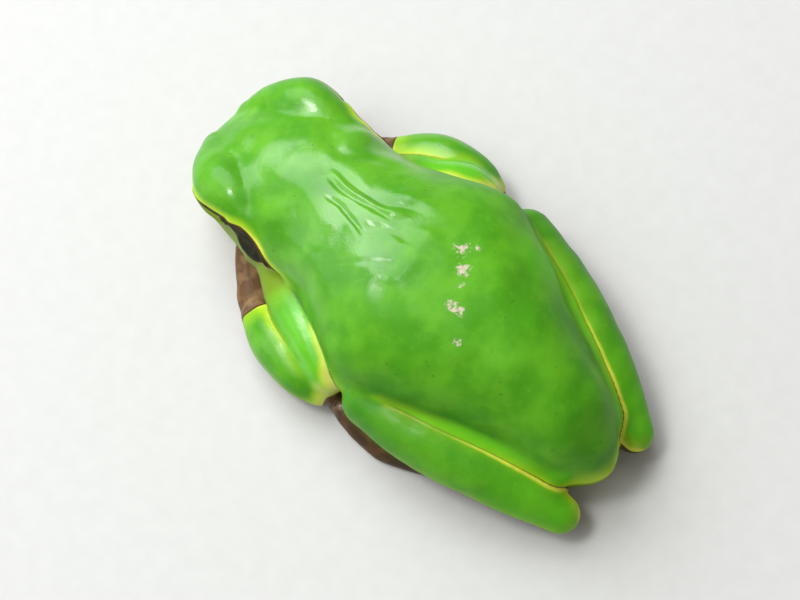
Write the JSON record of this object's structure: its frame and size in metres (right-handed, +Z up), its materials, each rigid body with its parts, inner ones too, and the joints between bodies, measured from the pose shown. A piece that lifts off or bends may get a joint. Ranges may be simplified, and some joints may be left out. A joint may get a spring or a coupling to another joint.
{
  "type": "tree frog",
  "caption": "Small green tree frog at rest, life size: belly and chin on the ground, limbs folded close along the body, hands under the chin, eyes closed.",
  "frame": {"origin": "on the ground under the middle of the frog's bounding box", "axes": "+Z up, the head towards -Y, the frog's left side towards +X; the ground is the plane Z = 0"},
  "size_m": [0.0204, 0.0346, 0.0112],
  "materials": {
    "back_skin": "smooth wet leaf-green skin with a gold edge line",
    "limb_skin": "smooth wet green skin with yellow edges",
    "throat_skin": "fine-grained pale yellowish skin",
    "brown_skin": "smooth purplish-brown skin of the hands and feet",
    "eye": "wet dark eye",
    "eardrum": "thin dark brown skin"
  },
  "bodies": {
    "root": {"trunk": "back_skin", "head": "back_skin", "lower_jaw": "throat_skin", "eye_left": "eye", "eye_right": "eye", "eardrum_left": "eardrum", "eardrum_right": "eardrum", "upper_arm_left": "limb_skin", "upper_arm_right": "limb_skin", "forearm_left": "limb_skin", "forearm_right": "limb_skin", "hand_left": "brown_skin", "hand_right": "brown_skin", "thigh_left": "limb_skin", "thigh_right": "limb_skin", "shank_left": "limb_skin", "shank_right": "limb_skin", "tarsus_left": "brown_skin", "tarsus_right": "brown_skin", "foot_left": "brown_skin", "foot_right": "brown_skin"}
  },
  "joints": []
}
